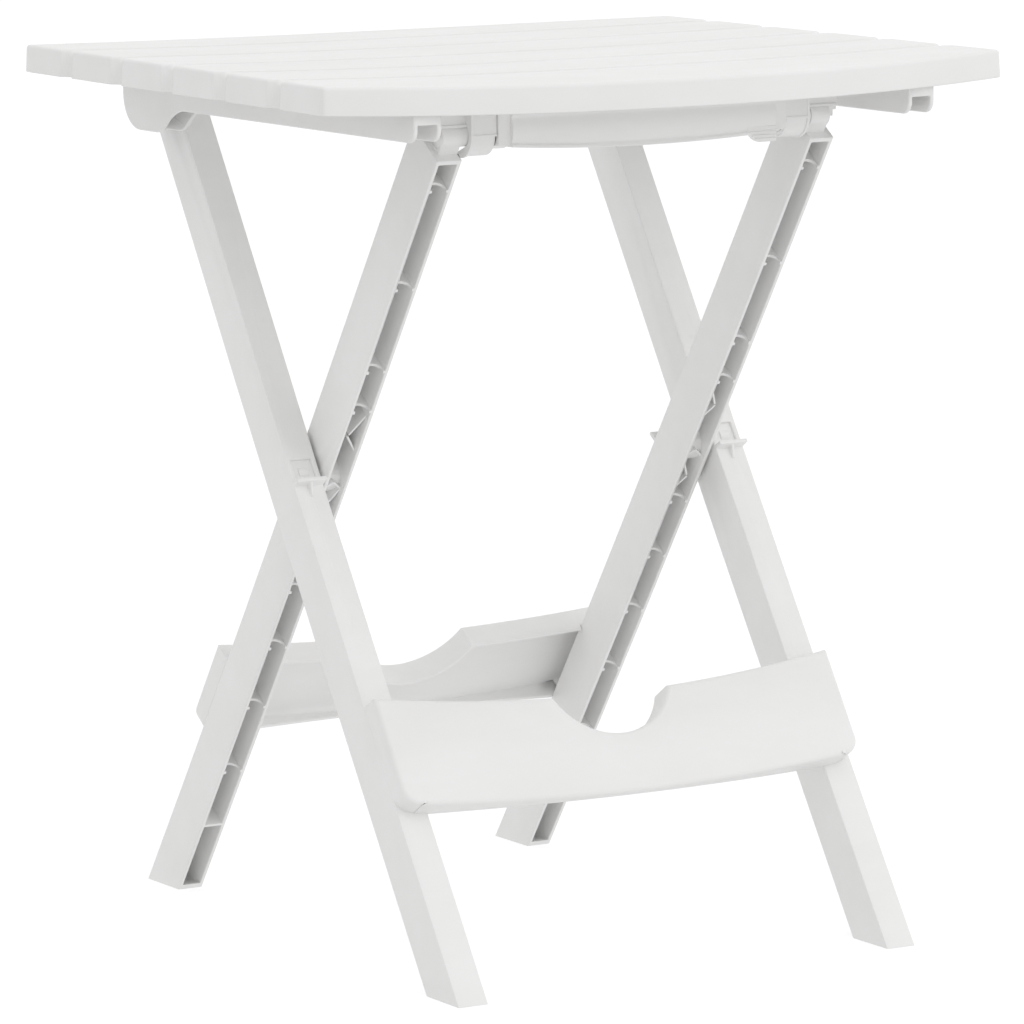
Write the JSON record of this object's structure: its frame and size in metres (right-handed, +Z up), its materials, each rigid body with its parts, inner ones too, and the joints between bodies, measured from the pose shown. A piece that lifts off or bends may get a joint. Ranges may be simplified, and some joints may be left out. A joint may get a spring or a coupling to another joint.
{
  "type": "folding side table",
  "caption": "Low white plastic side table with a slatted top and two crossed leg frames that fold flat under it.",
  "frame": {"origin": "centre of the footprint, on the floor", "axes": "+X along the slats, -Y towards the bowed front edge, +Z up"},
  "size_m": [0.434, 0.4178, 0.5],
  "materials": {
    "top_plastic": "satin, moulded",
    "frame_plastic": "satin, moulded",
    "pin_plastic": "satin, moulded"
  },
  "bodies": {
    "outer_frame": {"outer_leg_left": "frame_plastic", "outer_leg_right": "frame_plastic", "front_brace": "frame_plastic", "hinge_pin_left": "pin_plastic", "hinge_pin_right": "pin_plastic"},
    "inner_frame": {"inner_leg_left": "frame_plastic", "inner_leg_right": "frame_plastic", "rear_brace": "frame_plastic", "top_crossbar": "frame_plastic", "pivot_pin_left": "pin_plastic", "pivot_pin_right": "pin_plastic"},
    "tabletop": {"slat_panel": "top_plastic", "front_apron": "top_plastic", "rear_apron": "top_plastic", "left_apron": "top_plastic", "right_apron": "top_plastic", "groove_ribs": "top_plastic", "side_channel_left": "top_plastic", "side_channel_right": "top_plastic", "bar_clip_left": "top_plastic", "bar_clip_right": "top_plastic"}
  },
  "joints": [
    {"name": "top_lift", "type": "hinge", "parent": "outer_frame", "child": "tabletop", "pos_m": [0, 0.1275, 0.4735], "axis": [-1, 0, 0], "range_deg": [0, 51]},
    {"name": "leg_fold", "type": "hinge", "parent": "outer_frame", "child": "inner_frame", "pos_m": [0, 0, 0.2665], "axis": [-1, 0, 0], "range_deg": [0, 64]}
  ],
  "couplings": [
    {"joint": "leg_fold", "follows": "top_lift", "ratio": 1.25}
  ]
}
